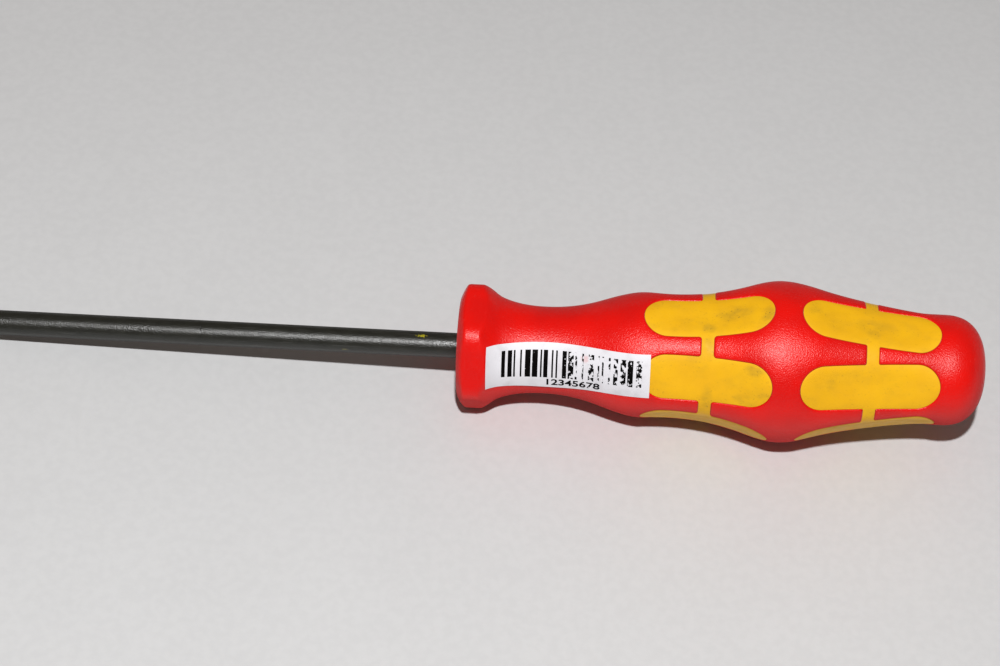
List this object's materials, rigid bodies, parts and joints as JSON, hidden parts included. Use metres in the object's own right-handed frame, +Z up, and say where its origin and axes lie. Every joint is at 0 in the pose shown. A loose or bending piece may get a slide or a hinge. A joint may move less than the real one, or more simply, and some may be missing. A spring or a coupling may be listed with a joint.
{
  "type": "insulated screwdriver",
  "caption": "Slotted screwdriver with an insulated round shank, a contoured red handle with yellow soft pads, a hexagonal anti-roll flange and a stuck-on label.",
  "frame": {"origin": "on the tool's axis, at the centre of the handle's front face", "axes": "+X along the axis towards the butt, with the tip at -X; +Z up, with one flat of the flange facing -Z"},
  "size_m": [0.198, 0.0302, 0.0302],
  "materials": {
    "blade_steel": "ground flats on a satin bar",
    "inner_layer": "moulded",
    "shank_sleeve": "fine-grained satin",
    "core_plastic": "moulded",
    "handle_plastic": "spark-eroded grain",
    "grip_rubber": "smooth soft plastic with handling marks",
    "label_paper": null
  },
  "bodies": {
    "root": {"blade": "blade_steel", "inner_insulation": "inner_layer", "outer_insulation": "shank_sleeve", "handle_core": "core_plastic", "handle_body": "handle_plastic", "front_soft_grip": "grip_rubber", "rear_soft_grip": "grip_rubber", "barcode_label": "label_paper"}
  },
  "joints": []
}
